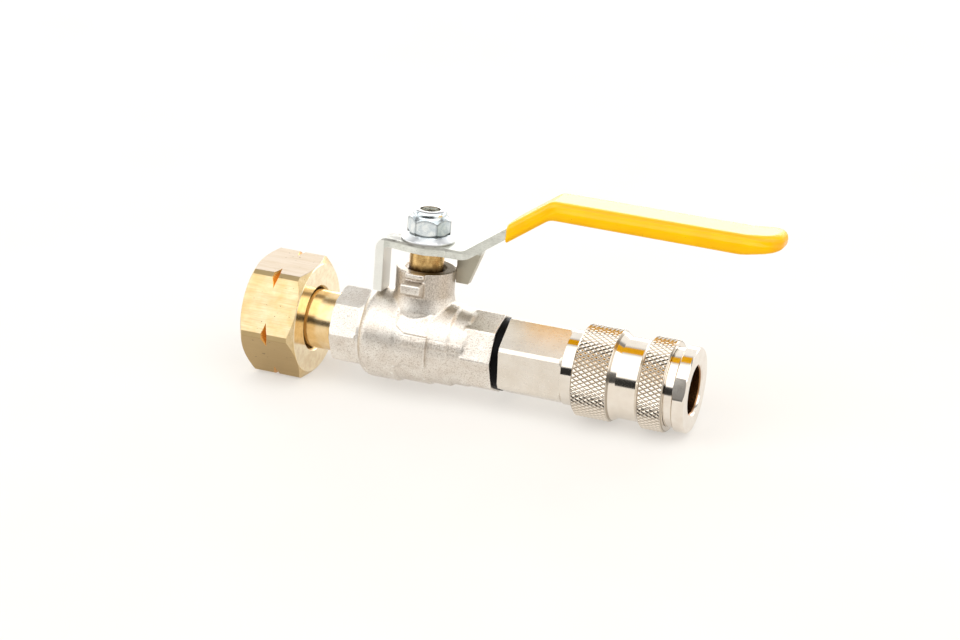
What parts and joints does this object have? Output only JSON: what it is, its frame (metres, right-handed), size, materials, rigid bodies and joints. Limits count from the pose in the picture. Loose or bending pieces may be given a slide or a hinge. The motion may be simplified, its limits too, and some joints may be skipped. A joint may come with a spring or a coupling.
{
  "type": "propane cylinder connector",
  "caption": "Gas bottle connector: brass union nut with left-hand thread, lever ball valve with a dipped handle, and a knurled quick coupling that locks with balls.",
  "frame": {"origin": "middle of the union nut's thread, on the pipe axis", "axes": "+X along the pipe from the cylinder side to the hose side, +Z along the valve stem towards the lever"},
  "size_m": [0.1411, 0.0344, 0.0611],
  "materials": {
    "bare_brass": "machined",
    "forged_nickel": "sand-grained, nickel plated",
    "polished_nickel": "turned, nickel plated",
    "lever_steel": "pale zinc plate",
    "zinc_steel": "bright zinc plate",
    "spring_steel": "drawn wire",
    "ball_steel": "polished",
    "yellow_vinyl": "dipped, glossy",
    "black_rubber": "moulded",
    "white_ptfe": "machined",
    "cream_nylon": "moulded"
  },
  "bodies": {
    "valve": {"nipple": "bare_brass", "cylinder_seal": "black_rubber", "valve_end_cap": "forged_nickel", "valve_body": "forged_nickel", "seat_inlet": "white_ptfe", "seat_outlet": "white_ptfe", "thrust_washer": "white_ptfe", "outlet_seal": "black_rubber", "coupling_adapter": "polished_nickel", "coupling_body": "polished_nickel", "plug_seal": "black_rubber", "sleeve_spring": "spring_steel", "poppet_spring": "spring_steel"},
    "union_nut": {"union_nut": "bare_brass"},
    "lever": {"stem": "bare_brass", "ball": "ball_steel", "stem_o_ring_lower": "black_rubber", "stem_o_ring_upper": "black_rubber", "lever_plate": "lever_steel", "lever_grip": "yellow_vinyl", "lever_nut": "zinc_steel", "lever_nut_insert": "cream_nylon"},
    "sleeve_carrier": {"sleeve_washer": "spring_steel"},
    "sleeve": {"coupling_sleeve": "polished_nickel"},
    "poppet": {"poppet": "bare_brass", "poppet_seal": "black_rubber"},
    "locking_ball_1": {"locking_ball_1": "ball_steel"},
    "locking_ball_2": {"locking_ball_2": "ball_steel"},
    "locking_ball_3": {"locking_ball_3": "ball_steel"},
    "locking_ball_4": {"locking_ball_4": "ball_steel"},
    "locking_ball_5": {"locking_ball_5": "ball_steel"},
    "locking_ball_6": {"locking_ball_6": "ball_steel"}
  },
  "joints": [
    {"name": "nut_turn", "type": "hinge", "parent": "valve", "child": "union_nut", "pos_m": [0, 0, 0], "axis": [1, 0, 0], "continuous": true},
    {"name": "lever_turn", "type": "hinge", "parent": "valve", "child": "lever", "pos_m": [0.0415, 0, 0.0249], "axis": [0, 0, 1], "range_deg": [-90, 0]},
    {"name": "sleeve_slide", "type": "slide", "parent": "valve", "child": "sleeve_carrier", "axis": [-1, 0, 0], "range_m": [0, 0.003], "stiffness_N_per_m": 1500, "springref_m": -0.003, "deforming": ["sleeve_spring"]},
    {"name": "sleeve_turn", "type": "hinge", "parent": "sleeve_carrier", "child": "sleeve", "pos_m": [0.1, 0, 0], "axis": [1, 0, 0], "continuous": true},
    {"name": "poppet_slide", "type": "slide", "parent": "valve", "child": "poppet", "axis": [-1, 0, 0], "range_m": [0, 0.004], "stiffness_N_per_m": 500, "springref_m": -0.004, "deforming": ["poppet_spring"]},
    {"name": "locking_ball_1_slide", "type": "slide", "parent": "valve", "child": "locking_ball_1", "axis": [0, 0, 1], "range_m": [0, 0.0009]},
    {"name": "locking_ball_2_slide", "type": "slide", "parent": "valve", "child": "locking_ball_2", "axis": [0, -0.866, 0.5], "range_m": [0, 0.0009]},
    {"name": "locking_ball_3_slide", "type": "slide", "parent": "valve", "child": "locking_ball_3", "axis": [0, -0.866, -0.5], "range_m": [0, 0.0009]},
    {"name": "locking_ball_4_slide", "type": "slide", "parent": "valve", "child": "locking_ball_4", "axis": [0, 0, -1], "range_m": [0, 0.0009]},
    {"name": "locking_ball_5_slide", "type": "slide", "parent": "valve", "child": "locking_ball_5", "axis": [0, 0.866, -0.5], "range_m": [0, 0.0009]},
    {"name": "locking_ball_6_slide", "type": "slide", "parent": "valve", "child": "locking_ball_6", "axis": [0, 0.866, 0.5], "range_m": [0, 0.0009]}
  ],
  "couplings": [
    {"joint": "locking_ball_1_slide", "follows": "sleeve_slide", "ratio": 0.3},
    {"joint": "locking_ball_2_slide", "follows": "sleeve_slide", "ratio": 0.3},
    {"joint": "locking_ball_3_slide", "follows": "sleeve_slide", "ratio": 0.3},
    {"joint": "locking_ball_4_slide", "follows": "sleeve_slide", "ratio": 0.3},
    {"joint": "locking_ball_5_slide", "follows": "sleeve_slide", "ratio": 0.3},
    {"joint": "locking_ball_6_slide", "follows": "sleeve_slide", "ratio": 0.3}
  ]
}
